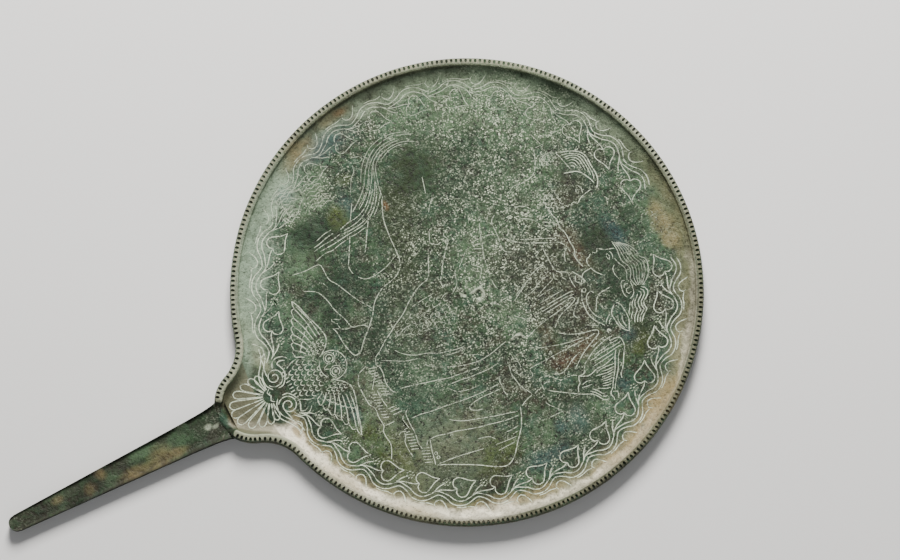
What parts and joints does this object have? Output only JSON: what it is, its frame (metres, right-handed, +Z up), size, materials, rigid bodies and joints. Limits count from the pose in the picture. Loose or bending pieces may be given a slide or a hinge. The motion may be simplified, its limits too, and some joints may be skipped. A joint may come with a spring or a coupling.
{
  "type": "etruscan hand mirror",
  "caption": "Cast bronze hand mirror with a round engraved disc, notched raised lip, short flared shoulder and flat tapering tang.",
  "frame": {"origin": "middle of the disc, on the flat spot of the underside that the mirror lies on", "axes": "+Y along the mirror from the tang to the top of the disc, +Z up from the reflecting side to the engraved side, +X to the right when the engraving is read with the tang below"},
  "size_m": [0.17, 0.2686, 0.0065],
  "materials": {
    "patinated_bronze": "ancient bronze under a mottled green, whitish and brown patina, matt"
  },
  "bodies": {
    "root": {"mirror": "patinated_bronze"}
  },
  "joints": []
}
